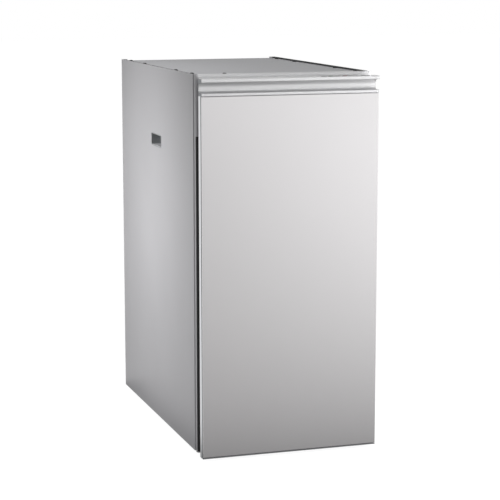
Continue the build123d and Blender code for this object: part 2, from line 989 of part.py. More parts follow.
def drawer_channel():
    """Runner channel on the drawer, open towards the cabinet."""
    inset = 2 * (slide_sheet + fit)
    outer = slide_outer - inset - slide_web_gap
    low = slide_middle - slide_height / 2 + inset
    high = slide_middle + slide_height / 2 - inset
    path = [(outer, low), (slide_inner, low), (slide_inner, high), (outer, high)]
    return folded(path, slide_sheet, slide_sheet)


# Drawer chassis and bin

def drawer_side():
    """Side plate of the drawer, with a gusset up the back of the door and a bolting flange."""
    back = slide_front + slide_length
    outline = rounded_face(
        [
            (door_back, drawer_bottom, 0),
            (back, drawer_bottom, drawer_side_sheet),
            (back, drawer_side_top, drawer_side_sheet),
            (door_back + gusset_foot, drawer_side_top, gusset_round),
            (door_back + gusset_top, drawer_side_top + gusset_height, gusset_top_round),
            (door_back, drawer_side_top + gusset_height, 0),
        ]
    )
    plate = along_x(outline, drawer_inner, slide_inner)
    flange = block(
        (slide_inner, slide_inner + side_flange),
        (door_back, door_back + drawer_side_sheet),
        (drawer_bottom, drawer_side_top + gusset_height),
    )
    return plate + flange


def drawer_floor():
    """Low tray between the drawer sides that the bin stands in."""
    outer = block(
        (-drawer_inner, drawer_inner),
        (door_back, tray_back),
        (drawer_bottom, drawer_bottom + drawer_floor_height),
    )
    inner = block(
        (-drawer_inner + drawer_floor_sheet, drawer_inner - drawer_floor_sheet),
        (door_back + drawer_floor_sheet, tray_back - drawer_floor_sheet),
        (drawer_bottom + drawer_floor_sheet, drawer_side_top),
    )
    return outer - inner


def bin_outline(inset):
    """Plan of the bin at its rim."""
    width = 2 * (bin_half - inset)
    length = bin_back - bin_front - 2 * inset
    return Pos(0, (bin_front + bin_back) / 2) * RectangleRounded(width, length, bin_round - inset)


def bin_body():
    """Moulded bin with drafted walls, a rounded foot, a rim and two stiffening beads."""
    shell = extrude(Plane.XY.offset(bin_top) * bin_outline(0), amount=-bin_height, taper=bin_draft)
    shell = fillet(shell.faces().sort_by(Axis.Z)[0].edges(), bin_foot_round)
    rim = along_z(bin_outline(-bin_rim), bin_top - bin_rim_height, bin_top)
    mouth = Plane.XY.offset(bin_top + fit) * bin_outline(bin_wall)
    hollow = extrude(mouth, amount=bin_wall - bin_height - fit, taper=bin_draft)
    hollow = fillet(hollow.faces().sort_by(Axis.Z)[0].edges(), bin_foot_round - bin_wall)
    beads = [
        along_z(bin_outline(-bin_bead), bin_top - drop - bin_bead_height, bin_top - drop)
        for drop in bin_bead_drops
    ]
    levels = [bead.edges().group_by(Axis.Z) for bead in beads]
    beads = [fillet(level[0] + level[-1], bin_bead) for level in levels]
    return shell + rim + beads - hollow


# Drawer front

def face_panel():
    """Outer skin of the drawer front, folded back all round."""
    body = block((-half_width, half_width), (face_front, flange_back), (face_bottom, face_top))
    body = fillet(body.faces().sort_by(Axis.Y)[0].edges(), face_bend)
    hollow = block(
        (-half_width + face_sheet, half_width - face_sheet),
        (face_front + face_sheet, flange_back + fit),
        (face_bottom + face_sheet, face_top - face_sheet),
    )
    return body - hollow


def door_pan():
    """Inner pan of the drawer front, nested in the outer skin and stiffened by pressed beads."""
    back = block((-pan_half, pan_half), (door_back - panel, door_back), (door_bottom + trim, handle_bottom))
    low = face_bottom + face_sheet + fit
    high = face_top - face_sheet - fit
    walls = block((-pan_half, pan_half), (pan_front, door_back - panel), (low, high))
    hollow = block(
        (-pan_half + panel, pan_half - panel),
        (pan_front - fit, door_back - panel),
        (low + panel, high - panel),
    )
    slot = block(
        (-pan_half + panel, pan_half - panel),
        (door_back - panel - tongue_sheet - fit, door_back - panel),
        (handle_bottom - tongue - fit, handle_top),
    )
    middle = (low + high) / 2
    beads = Sketch() + [
        Pos((bead - (pan_bead_count - 1) / 2) * pan_bead_pitch, middle)
        * SlotOverall(pan_bead_length, pan_bead_width, rotation=90)
        for bead in range(pan_bead_count)
    ]
    pressed = along_y(offset(beads, panel), door_back - pan_bead - panel, door_back)
    hollow_beads = along_y(beads, door_back - pan_bead, door_back)
    return back + (walls - hollow) - slot + pressed - hollow_beads


def edge_trim():
    """Bright trim along the side of the drawer front, behind a shadow gap at the skin's edge."""
    inner = half_width - trim
    front = flange_back + trim_gap
    profile = rounded_face(
        [
            (half_width, front, trim_nose),
            (half_width, door_back, trim_nose),
            (inner, door_back, 0),
            (inner, front, 0),
        ]
    )
    return along_z(profile, door_bottom, handle_bottom)


def bottom_trim():
    """Dark trim under the skin and between the edge trims."""
    profile = rounded_face(
        [
            (face_front, door_bottom, trim_nose),
            (face_front, door_bottom + trim, trim_nose),
            (flange_back, door_bottom + trim, 0),
            (flange_back, door_bottom, 0),
        ]
    )
    rear = block((-pan_half, pan_half), (flange_back, door_back), (door_bottom, door_bottom + trim))
    return along_x(profile, -half_width, half_width) + rear


def door_seal():
    """Rubber seal round the drawer opening, crowned where it meets the cabinet."""
    half = half_width - seal_inset
    low = door_bottom + trim + seal_lift
    high = cabinet_top - seal_top_drop
    middle = (low + high) / 2
    ring = Pos(0, middle) * (
        RectangleRounded(2 * half, high - low, seal_round)
        - RectangleRounded(2 * (half - seal_width), high - low - 2 * seal_width, seal_round - seal_width)
    )
    body = along_y(ring, door_back, cabinet_front - seal_running_gap)
    return fillet(body.faces().sort_by(Axis.Y)[-1].edges(), seal_crown)


def strip_pocket(extra):
    """Pocket for the control strip in the handle's upper edge, as a solid."""
    outline = Pos(strip_x, lip_front + strip_setback + strip_width / 2) * RectangleRounded(
        strip_length + 2 * extra, strip_width + 2 * extra, strip_round + extra
    )
    return along_z(outline, handle_top - strip_depth, handle_top)


def handle_rail():
    """Aluminium extrusion: two rounded lips round a finger recess, and a tongue into the door."""
    lip_top = handle_bottom + lower_lip
    lip_under = handle_top - upper_lip
    recess = lip_front + recess_depth
    profile = rounded_face(
        [
            (door_back, handle_top, 0),
            (lip_front, handle_top, lip_round),
            (lip_front, lip_under, lip_round),
            (recess, lip_under, recess_round),
            (recess, lip_top, lower_recess_round),
            (lip_front, lip_top, lower_lip_round),
            (lip_front, handle_bottom, lower_lip_round),
            (door_back, handle_bottom, 0),
        ]
    )
    tongue_half = pan_half - panel - fit
    tongue_back = door_back - panel
    web = block(
        (-tongue_half, tongue_half),
        (tongue_back - tongue_sheet, tongue_back),
        (handle_bottom - tongue, handle_bottom + lower_lip / 2),
    )
    return along_x(profile, -half_width, half_width) + web - strip_pocket(fit / 2)


# Controls and catch

def control_places():
    """Centres of the start button, the stop button and the lock dial."""
    y = lip_front + strip_setback + strip_width / 2
    return [(strip_x + step * control_pitch, y) for step in (-1, 0, 1)]


def control_strip():
    """Plastic strip with a well for each control."""
    start, stop, dial = control_places()
    strip = strip_pocket(-fit / 2)
    well = handle_top - button_height - button_travel
    for x, y in (start, stop):
        strip -= rod(x, y, well, handle_top, button_diameter + fit)
    return strip - rod(*dial, handle_top - button_height, handle_top, dial_diameter + fit)


def button(x, y):
    """Button cap with an eased edge."""
    cap = rod(x, y, handle_top - button_height, handle_top + button_proud, button_diameter)
    return fillet(cap.edges().sort_by(Axis.Z)[-1], button_edge)


def lock_dial(x, y):
    """Dial with a coin slot."""
    top = handle_top + button_proud
    dial = rod(x, y, handle_top - button_height, top, dial_diameter)
    slot = block(
        (x - dial_diameter, x + dial_diameter),
        (y - dial_slot / 2, y + dial_slot / 2),
        (top - dial_slot_depth, top),
    )
    return dial - slot


def catch_block(front, back):
    """Block of the magnetic catch between two depths."""
    middle = cabinet_top - catch_drop
    heights = (middle - catch_height / 2, middle + catch_height / 2)
    body = block((-catch_width / 2, catch_width / 2), (front, back), heights)
    return fillet(body.edges().filter_by(Axis.Y), catch_round)


def build():
    """Write every piece."""
    os.makedirs("parts", exist_ok=True)
    save_pair("side_panel", side_panel())
    save_pair("stile", stile())
    save("header", front_pan(cabinet_top - header_height, cabinet_top))
    save("bottom_rail", front_pan(cabinet_bottom, cabinet_bottom + rail_height))
    save("top_panel", top_panel())
    rail = top_rail()
    save("top_rails", mirrored(rail), rail)
    save("top_screws", *[top_screw(x, y) for x, y in screw_places()])
    gasket = top_gasket()
    save("top_gaskets", mirrored(gasket), gasket)
    cup = grip_cup()
    save("grip_cups", mirrored(cup), cup)
    save("back_panel", back_panel())
    save("cord_gland", cord_gland())
    save("base_frame", base_frame())
    save("feet", *feet())

    save("drive_deck", drive_deck())
    save("upper_crossbar", upper_crossbar())
    bush = upper_bush()
    save("upper_bushes", mirrored(bush), bush)
    bearing = lower_bearing()
    save("lower_bearings", mirrored(bearing), bearing)
    guide = ram_guide()
    save("ram_guides", mirrored(guide), guide)

    save("drive_belt", drive_belt())
    save("left_screw_pulley", pulley(screw_teeth, 0, journal + 2 * running))
    save("right_screw_pulley", pulley(screw_teeth, 2, journal + 2 * running))
    save("drive_pulley", drive_pulley())
    save_pair("power_screw", power_screw())
    save("gear_housing", gear_housing())
    save("motor_shell", motor_shell())
    save("motor_bell", motor_bell())
    save("motor_capacitor", capacitor())
    save("control_box", control_box())

    save("ram_platen", platen())
    save("ram_column", ram_column())
    save("ram_crossbeam", crossbeam())
    nut = power_nut()
    save("power_nuts", mirrored(nut), nut)
    shoe = guide_shoe()
    save("guide_shoes", mirrored(shoe), shoe)

    bracket = slide_bracket()
    save("slide_brackets", mirrored(bracket), bracket)
    save_pair("cabinet_runner", runner(outer_channel(0)))
    save_pair("middle_runner", runner(outer_channel(1)))
    save_pair("drawer_runner", runner(drawer_channel()))
    save_pair("drawer_side", drawer_side())
    save("drawer_floor", drawer_floor())
    save("bin", bin_body())

    save("face_panel", face_panel())
    save("door_pan", door_pan())
    save_pair("edge_trim", edge_trim())
    save("bottom_trim", bottom_trim())
    save("door_seal", door_seal())
    save("handle_rail", handle_rail())
    save("control_strip", control_strip())
    start, stop, dial = control_places()
    save("start_button", button(*start))
    save("stop_button", button(*stop))
    save("lock_dial", lock_dial(*dial))
    save("catch_magnet", catch_block(cabinet_front - catch_depth, cabinet_front))
    save("catch_strike", catch_block(door_back, cabinet_front - catch_depth - fit))


build()
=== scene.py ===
import json
import math

import bmesh
import bpy
from mathutils import Matrix, Vector


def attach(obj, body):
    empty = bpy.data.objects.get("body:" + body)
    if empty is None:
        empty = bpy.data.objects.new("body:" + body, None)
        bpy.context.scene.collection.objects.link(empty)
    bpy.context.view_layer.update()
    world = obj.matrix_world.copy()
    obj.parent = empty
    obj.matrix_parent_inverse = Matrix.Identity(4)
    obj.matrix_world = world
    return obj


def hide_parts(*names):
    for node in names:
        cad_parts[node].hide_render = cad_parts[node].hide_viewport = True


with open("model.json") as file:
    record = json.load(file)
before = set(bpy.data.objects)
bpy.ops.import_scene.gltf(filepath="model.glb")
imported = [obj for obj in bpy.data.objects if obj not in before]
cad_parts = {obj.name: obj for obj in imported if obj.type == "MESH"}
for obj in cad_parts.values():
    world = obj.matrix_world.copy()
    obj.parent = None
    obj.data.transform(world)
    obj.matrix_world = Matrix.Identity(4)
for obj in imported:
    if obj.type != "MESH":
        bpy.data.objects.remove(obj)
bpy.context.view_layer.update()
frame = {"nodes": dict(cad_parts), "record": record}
nodes = frame["nodes"]
MM = 0.001

# Points this close are merged, and faces that meet more flatly than this are shaded as one curve
MERGE_WITHIN = 0.005 * MM
SMOOTH_BELOW = math.radians(32)

# Thread of the power screws, in millimetres
THREAD_LOW = 77.3
THREAD_HIGH = 769.0
LEAD = 5.0

# Grain sizes along x, y and z, in millimetres, for metal drawn along one of them
ALONG_X = (90, 0.8, 0.8)
ALONG_Y = (0.8, 70, 0.8)
ALONG_Z = (0.8, 0.8, 90)

# Sockets of a Mix node: its factor, then the inputs and the output of its colours and its vectors
FACTOR = 0
COLOUR_A, COLOUR_B, COLOUR_MIX = 6, 7, 2
VECTOR_A, VECTOR_B, VECTOR_MIX = 4, 5, 1

# Levels of the stage, where 1 shows as white
AMBIENT = 0.35
FLOOR_GLOW = 0.92
CEILING = 0.62
WHITE = (1, 1, 1, 1)
BLACK = (0, 0, 0, 1)

# Card that the door mirrors: from its near level it rises with the distance from the door's line, in
# metres, by half the rise at the reach, and it is scaled across the slant within limits
DOOR_LINE = -0.33
CARD_NEAR = 0.32
CARD_RISE = 0.675
CARD_REACH = 1.25
CARD_SLANT = (1.0, 0.303, 0.0)
CARD_SIDE = 0.62
CARD_MIDDLE = 1.14
CARD_LEFT_LIMIT = 0.5
CARD_RIGHT_LIMIT = 2.0
CARD_DARKEST = CARD_NEAR * 0.7


# Places, colours and nodes

def metres(*lengths):
    """Millimetres as metres."""
    return tuple(length * MM for length in lengths)


def lowest(node):
    """Lowest corner of a CAD node's box, in millimetres."""
    return Vector(map(min, zip(*(vertex.co / MM for vertex in nodes[node].data.vertices))))


def highest(node):
    """Highest corner of a CAD node's box, in millimetres."""
    return Vector(map(max, zip(*(vertex.co / MM for vertex in nodes[node].data.vertices))))


def middle(node):
    """Centre of a CAD node's box, in millimetres."""
    return (lowest(node) + highest(node)) / 2


def linear(code):
    """Linear colour of an sRGB hex value."""
    levels = [int(code[at:at + 2], 16) / 255 for at in (1, 3, 5)]
    return [v / 12.92 if v <= 0.04045 else ((v + 0.055) / 1.055) ** 2.4 for v in levels] + [1.0]


def per_mm(size):
    """Texture scale that gives features of a size in millimetres."""
    return 1 / (size * MM)


def feed(tree, node, inputs):
    """Give inputs of a node their links or plain values."""
    for name, value in inputs.items():
        if isinstance(value, bpy.types.NodeSocket):
            tree.links.new(value, node.inputs[name])
        else:
            node.inputs[name].default_value = value


def add(tree, kind, output, inputs, **settings):
    """Add a node with its settings, plain inputs and links, and give one of its outputs."""
    made = tree.nodes.new(kind)
    for name, value in settings.items():
        setattr(made, name, value)
    feed(tree, made, inputs)
    return made.outputs[output]


def blank_material(name):
    """A material with only its Principled shader, and the piece's own coordinates."""
    material = bpy.data.materials.new(name)
    material.use_nodes = True
    tree = material.node_tree
    place = add(tree, "ShaderNodeTexCoord", "Object", {})
    return material, tree, tree.nodes["Principled BSDF"], place


# Work on a piece

def only(*pieces):
    """Select these pieces and nothing else, with the first of them active."""
    bpy.ops.object.select_all(action="DESELECT")
    for piece in pieces:
        piece.select_set(True)
    bpy.context.view_layer.objects.active = pieces[0]


def settle(piece):
    """Put the place and turn of a piece into its mesh."""
    only(piece)
    bpy.ops.object.transform_apply(location=True, rotation=True, scale=True)


def pick(piece, kind, wanted):
    """Select the faces, edges or points of the open piece that pass a test."""
    bpy.ops.mesh.select_mode(type=kind)
    bpy.ops.mesh.select_all(action="DESELECT")
    shape = bmesh.from_edit_mesh(piece.data)
    parts = {"FACE": shape.faces, "EDGE": shape.edges, "VERT": shape.verts}[kind]
    for part in parts:
        if wanted(part):
            part.select_set(True)
    bmesh.update_edit_mesh(piece.data)


def remove_faces(piece, unwanted):
    """Delete the faces of a piece that pass a test, and leave it open there."""
    only(piece)
    bpy.ops.object.mode_set(mode="EDIT")
    pick(piece, "FACE", unwanted)
    bpy.ops.mesh.delete(type="FACE")
    bpy.ops.object.mode_set(mode="OBJECT")


def round_edges(piece, wanted, radius, segments):
    """Round the edges of a piece that pass a test."""
    only(piece)
    bpy.ops.object.mode_set(mode="EDIT")
    pick(piece, "EDGE", wanted)
    bpy.ops.mesh.bevel(offset=radius * MM, segments=segments, affect="EDGES")
    bpy.ops.object.mode_set(mode="OBJECT")


def upright(edge):
    """Whether an edge runs upwards."""
    start, end = edge.verts
    return abs(start.co.z - end.co.z) > 0.1 * MM


def apply_modifier(piece, kind, **settings):
    """Add a modifier to a piece and apply it."""
    only(piece)
    modifier = piece.modifiers.new(kind.lower(), kind)
    for name, value in settings.items():
        setattr(modifier, name, value)
    bpy.ops.object.modifier_apply(modifier=modifier.name)


def close_mesh(piece):
    """Merge the doubles of a piece and point its faces outwards."""
    only(piece)
    bpy.ops.object.mode_set(mode="EDIT")
    bpy.ops.mesh.select_all(action="SELECT")
    bpy.ops.mesh.remove_doubles(threshold=MERGE_WITHIN)
    bpy.ops.mesh.normals_make_consistent(inside=False)
    bpy.ops.object.mode_set(mode="OBJECT")


def both_sides(piece):
    """Mirror a piece of the left side to the right, as one piece."""
    apply_modifier(piece, "MIRROR", use_axis=(True, False, False))
    close_mesh(piece)


def turned(name, steps, sides):
    """Round piece on the upright axis at the origin, drawn up ring by ring from its lower face."""
    bpy.ops.object.select_all(action="DESELECT")
    radius, height = steps[0]
    bpy.ops.mesh.primitive_circle_add(
        vertices=sides, radius=radius * MM, fill_type="NGON", location=metres(0, 0, height)
    )
    piece = bpy.context.object
    piece.name = name
    settle(piece)
    bpy.ops.object.mode_set(mode="EDIT")
    bpy.ops.mesh.select_all(action="SELECT")
    for (radius, height), (next_radius, next_height) in zip(steps, steps[1:]):
        rise = metres(0, 0, next_height - height)
        bpy.ops.mesh.extrude_region_move(TRANSFORM_OT_translate={"value": rise})
        ratio = next_radius / radius
        bpy.ops.transform.resize(value=(ratio, ratio, 1), center_override=metres(0, 0, next_height))
    bpy.ops.object.mode_set(mode="OBJECT")
    close_mesh(piece)
    return piece


def box_piece(name, low, high):
    """Box between two corners, the start of a flat piece."""
    bpy.ops.object.select_all(action="DESELECT")
    centre = [(a + b) / 2 for a, b in zip(low, high)]
    bpy.ops.mesh.primitive_cube_add(size=1, location=metres(*centre))
    piece = bpy.context.object
    piece.name = name
    piece.scale = metres(*[b - a for a, b in zip(low, high)])
    settle(piece)
    return piece


def joined(name, *pieces):
    """Several pieces as one."""
    only(*pieces)
    bpy.ops.object.join()
    piece = bpy.context.object
    piece.name = name
    return piece


def placed(model, name, places, tip=0.0):
    """Copies of a model, each with its own mesh, at every place, as one piece; the model is deleted."""
    copies = []
    for place in places:
        only(model)
        bpy.ops.object.duplicate(linked=False)
        copy = bpy.context.object
        copy.rotation_euler = (tip, 0, 0)
        copy.location = metres(*place)
        settle(copy)
        copies.append(copy)
    bpy.data.objects.remove(model)
    return joined(name, *copies)


def dress(piece, body, slot, finish=None):
    """Smooth a finished piece, give it its own or its slot's finish and let it ride on a body."""
    only(piece)
    bpy.ops.object.shade_smooth_by_angle(angle=SMOOTH_BELOW)
    piece.data.materials.clear()
    piece.data.materials.append(finish or finishes[slot])
    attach(piece, body)


# Finishes

def powder_coat(name, low, high, rough, shine=0.5):
    """Polyester powder coat on folded steel: satin, a slow drift of tone and a faint orange peel.

    The peel is drawn at 2.4 mm, about twice as coarse as the real one, so that it shows.
    """
    material, tree, shader, place = blank_material(name)
    drift = add(
        tree, "ShaderNodeTexNoise", "Fac", {"Vector": place, "Scale": per_mm(140), "Detail": 2}
    )
    peel = add(
        tree, "ShaderNodeTexNoise", "Fac", {"Vector": place, "Scale": per_mm(2.4), "Detail": 1}
    )
    tone = add(
        tree,
        "ShaderNodeMix",
        COLOUR_MIX,
        {FACTOR: drift, COLOUR_A: linear(low), COLOUR_B: linear(high)},
        data_type="RGBA",
    )
    sheen = add(
        tree,
        "ShaderNodeMapRange",
        "Result",
        {"Value": peel, "To Min": rough - 0.05, "To Max": rough + 0.05},
    )
    bump = add(
        tree, "ShaderNodeBump", "Normal", {"Height": peel, "Distance": 0.02 * MM, "Strength": 0.35}
    )
    feed(
        tree,
        shader,
        {"Base Color": tone, "Roughness": sheen, "Normal": bump, "Specular IOR Level": shine},
    )
    return material


def drawn_metal(name, low, high, rough, stretch, metallic=1.0, shade_cut_axis=(0, 0, 0)):
    """Metal with a grain in one direction, as brushing, rolling or an extrusion die leaves it.

    The grain is drawn 0.8 mm wide, several times the real width, so that it shows, and finger marks
    70 mm wide dull it a little. Faces across the cut axis are sawn or sheared and dull, and their
    darker colour is painted shade.
    """
    material, tree, shader, place = blank_material(name)
    scale = [per_mm(along) for along in stretch]
    mapped = add(tree, "ShaderNodeMapping", "Vector", {"Vector": place, "Scale": scale})
    lines = add(
        tree, "ShaderNodeTexNoise", "Fac", {"Vector": mapped, "Scale": 1.0, "Detail": 3}
    )
    smudge = add(
        tree, "ShaderNodeTexNoise", "Fac", {"Vector": place, "Scale": per_mm(70), "Detail": 3}
    )
    grain = add(
        tree, "ShaderNodeMapRange", "Result", {"Value": lines, "From Min": 0.3, "From Max": 0.7}
    )
    facing = add(tree, "ShaderNodeTexCoord", "Normal", {})
    across = add(
        tree, "ShaderNodeVectorMath", "Value", {0: facing, 1: shade_cut_axis}, operation="DOT_PRODUCT"
    )
    turned_away = add(tree, "ShaderNodeMath", 0, {0: across}, operation="ABSOLUTE")
    # Mask of the faces across the cut axis: a duller roughness as cut, and painted shade in their
    # colour
    cut = add(tree, "ShaderNodeMath", 0, {0: turned_away, 1: 0.8}, operation="GREATER_THAN")
    drawn = add(
        tree,
        "ShaderNodeMix",
        COLOUR_MIX,
        {FACTOR: grain, COLOUR_A: linear(low), COLOUR_B: linear(high)},
        data_type="RGBA",
    )
    # Faces across the cut axis take a darker grey: painted shade on the ends and edges
    tone = add(
        tree,
        "ShaderNodeMix",
        COLOUR_MIX,
        {FACTOR: cut, COLOUR_A: drawn, COLOUR_B: linear("#8A8C8F")},
        data_type="RGBA",
    )
    worn = add(tree, "ShaderNodeMath", 0, {0: grain, 1: smudge}, operation="ADD")
    sheen = add(
        tree,
        "ShaderNodeMapRange",
        "Result",
        {"Value": worn, "From Max": 2.0, "To Min": rough - 0.03, "To Max": rough + 0.03},
    )
    dull = add(tree, "ShaderNodeMath", 0, {0: cut, 1: 0.25, 2: sheen}, operation="MULTIPLY_ADD")
    bump = add(
        tree, "ShaderNodeBump", "Normal", {"Height": grain, "Distance": 0.003 * MM, "Strength": 0.1}
    )
    feed(
        tree,
        shader,
        {"Base Color": tone, "Roughness": dull, "Normal": bump, "Metallic": metallic},
    )
    return material


def zinc_sheet(name, low, high):
    """Hot-dip galvanised sheet: flat spangles about 11 mm wide, each with its own tone and gloss."""
    material, tree, shader, place = blank_material(name)
    warp = add(
        tree, "ShaderNodeTexNoise", "Color", {"Vector": place, "Scale": per_mm(6), "Detail": 1}
    )
    shift = add(
        tree,
        "ShaderNodeMix",
        VECTOR_MIX,
        {FACTOR: 0.003, VECTOR_A: place, VECTOR_B: warp},
        data_type="VECTOR",
    )
    spangle = add(tree, "ShaderNodeTexVoronoi", "Color", {"Vector": shift, "Scale": per_mm(11)})
    facet = add(tree, "ShaderNodeRGBToBW", "Val", {"Color": spangle})
    tone = add(
        tree,
        "ShaderNodeMix",
        COLOUR_MIX,
        {FACTOR: facet, COLOUR_A: linear(low), COLOUR_B: linear(high)},
        data_type="RGBA",
    )
    sheen = add(
        tree, "ShaderNodeMapRange", "Result", {"Value": facet, "To Min": 0.34, "To Max": 0.52}
    )
    feed(tree, shader, {"Base Color": tone, "Roughness": sheen, "Metallic": 1.0})
    return material


def moulded(name, low, high, rough, grit, ior=1.5):
    """Moulded plastic or rubber: an even colour with the fine grain that the mould leaves."""
    material, tree, shader, place = blank_material(name)
    drift = add(
        tree, "ShaderNodeTexNoise", "Fac", {"Vector": place, "Scale": per_mm(60), "Detail": 2}
    )
    grain = add(
        tree, "ShaderNodeTexNoise", "Fac", {"Vector": place, "Scale": per_mm(grit), "Detail": 2}
    )
    tone = add(
        tree,
        "ShaderNodeMix",
        COLOUR_MIX,
        {FACTOR: drift, COLOUR_A: linear(low), COLOUR_B: linear(high)},
        data_type="RGBA",
    )
    sheen = add(
        tree,
        "ShaderNodeMapRange",
        "Result",
        {"Value": grain, "To Min": rough - 0.06, "To Max": rough + 0.06},
    )
    bump = add(
        tree, "ShaderNodeBump", "Normal", {"Height": grain, "Distance": 0.05 * MM, "Strength": 0.4}
    )
    feed(tree, shader, {"Base Color": tone, "Roughness": sheen, "Normal": bump, "IOR": ior})
    return material


def cast_metal(name, low, high, rough, grit):
    """Die-cast alloy: a dull skin with small pits and flow marks."""
    material, tree, shader, place = blank_material(name)
    flow = add(
        tree,
        "ShaderNodeTexNoise",
        "Fac",
        {"Vector": place, "Scale": per_mm(25), "Detail": 4, "Distortion": 0.6},
    )
    pits = add(
        tree, "ShaderNodeTexNoise", "Fac", {"Vector": place, "Scale": per_mm(grit), "Detail": 3}
    )
    tone = add(
        tree,
        "ShaderNodeMix",
        COLOUR_MIX,
        {FACTOR: flow, COLOUR_A: linear(low), COLOUR_B: linear(high)},
        data_type="RGBA",
    )
    sheen = add(
        tree,
        "ShaderNodeMapRange",
        "Result",
        {"Value": flow, "To Min": rough - 0.1, "To Max": rough + 0.1},
    )
    bump = add(
        tree, "ShaderNodeBump", "Normal", {"Height": pits, "Distance": 0.15 * MM, "Strength": 0.5}
    )
    feed(tree, shader, {"Base Color": tone, "Roughness": sheen, "Normal": bump, "Metallic": 1.0})
    return material


finishes = {
    # Powder coat on folded steel: an even satin grey that softens what it mirrors
    "cabinet_paint": powder_coat("grey_powder_coat", "#B1B0B3", "#B8B7BA", 0.42),
    # The top's powder coat: darker and with little shine
    "top_sheet": powder_coat("grey_top_coat", "#9F9FA2", "#A5A5A8", 0.46, shine=0.2),
    # Finely brushed steel: mirrors the room as a soft fade, with dull sheared edges darkened by painted
    # shade
    "door_face": drawn_metal(
        "satin_steel", "#DBD9DA", "#DDDBDC", 0.25, ALONG_Z, shade_cut_axis=(1, 0, 0)
    ),
    # Anodised extrusion: frosted highlights along its length, and dull sawn ends darkened by painted
    # shade
    "bright_aluminium": drawn_metal(
        "anodised_rail", "#C8C8C9", "#CDCDCE", 0.38, ALONG_X, metallic=0.82, shade_cut_axis=(1, 0, 0)
    ),
    # Galvanised sheet: a cool grey patchwork of spangles
    "inner_sheet": zinc_sheet("galvanised_sheet", "#A4A8AC", "#BEC2C5"),
    # Dark powder coat: a charcoal satin that stays behind the bright sheet
    "frame_steel": powder_coat("dark_powder_coat", "#3B3C3E", "#454649", 0.48),
    # Zinc-plated rolled strip: bright lines along the travel
    "runner_steel": drawn_metal("zinc_plated_runner", "#B4B9BE", "#C9CDD1", 0.30, ALONG_Y),
    # Cold-rolled steel thread: burnished grey, with its grain round the screw
    "screw_steel": drawn_metal("rolled_screw", "#85878A", "#A3A5A8", 0.30, (12, 12, 0.5)),
    # Powder coat on the ram: a middle grey, duller than the cabinet's
    "ram_steel": powder_coat("ram_powder_coat", "#5B5D60", "#666A6D", 0.50),
    # Turned bronze: warm yellow-brown with fine rings
    "nut_bronze": drawn_metal("turned_bronze", "#A5814A", "#BC9A60", 0.32, (30, 30, 0.7)),
    # Black oxide on steel: nearly black with a faint metal sheen
    "black_screw": drawn_metal(
        "black_oxide", "#131416", "#1C1D1F", 0.42, (1, 1, 1), metallic=0.6
    ),
    # Extruded rubber: black and matt, with hardly a highlight
    "black_rubber": moulded("black_rubber", "#1E1E1F", "#262627", 0.80, 0.9),
    # Moulded ABS: black with a soft gloss
    "black_plastic": moulded("black_abs", "#18191A", "#1F2021", 0.48, 0.7),
    # Moulded ABS: a middle grey close to the paint round it
    "grey_plastic": moulded("grey_abs", "#96989A", "#9C9EA0", 0.50, 0.7),
    # Moulded polypropylene: charcoal with a waxy half gloss
    "bin_plastic": moulded("grey_polypropylene", "#3D4043", "#474A4D", 0.46, 1.1),
    # Moulded nylon: warm white, a little glossy
    "nylon": moulded("white_nylon", "#DEDBD2", "#E6E3DA", 0.40, 1.0, ior=1.53),
    # Baked enamel: black, and glossier than the powder coats
    "motor_paint": powder_coat("black_enamel", "#1B1C1E", "#242527", 0.34),
    # Die-cast alloy: a dull, mottled grey
    "cast_alloy": cast_metal("die_cast_alloy", "#8B8E91", "#A2A5A8", 0.48, 1.3),
    # Moulded ABS: muted green with a smooth gloss
    "start_green": moulded("green_abs", "#35533D", "#3B5A43", 0.30, 1.2),
    # Moulded ABS: muted red with a smooth gloss
    "stop_red": moulded("red_abs", "#74302B", "#7C3530", 0.30, 1.2),
}

# Anodised edge strip: a paler, frosted line down each side of the door
edge_aluminium = drawn_metal("anodised_edge", "#D4D5D7", "#DADBDD", 0.42, ALONG_Z)
# Moulded ABS: pale grey, painted light on the sills in the dark finger pockets
sill_light_abs = moulded("pale_grey_abs_sill_light", "#CDCCCF", "#D2D1D4", 0.50, 0.7)
# Extruded vinyl: smoke grey, the bottom trim's own colour, and painted shade as a soft dark line in the
# gaps beside bright metal
smoke_vinyl_and_shade = moulded("smoke_grey_vinyl_and_shade", "#616264", "#67686A", 0.55, 0.7)
# Nodes whose finish differs from their slot's
own_finishes = {
    "left_edge_trim": edge_aluminium,
    "right_edge_trim": edge_aluminium,
    "bottom_trim": smoke_vinyl_and_shade,
}

for row in frame["record"]["subparts"]:
    mesh = nodes[row["node"]].data
    mesh.materials.clear()
    mesh.materials.append(own_finishes.get(row["node"], finishes[row["material_slot"]]))


# Power screws

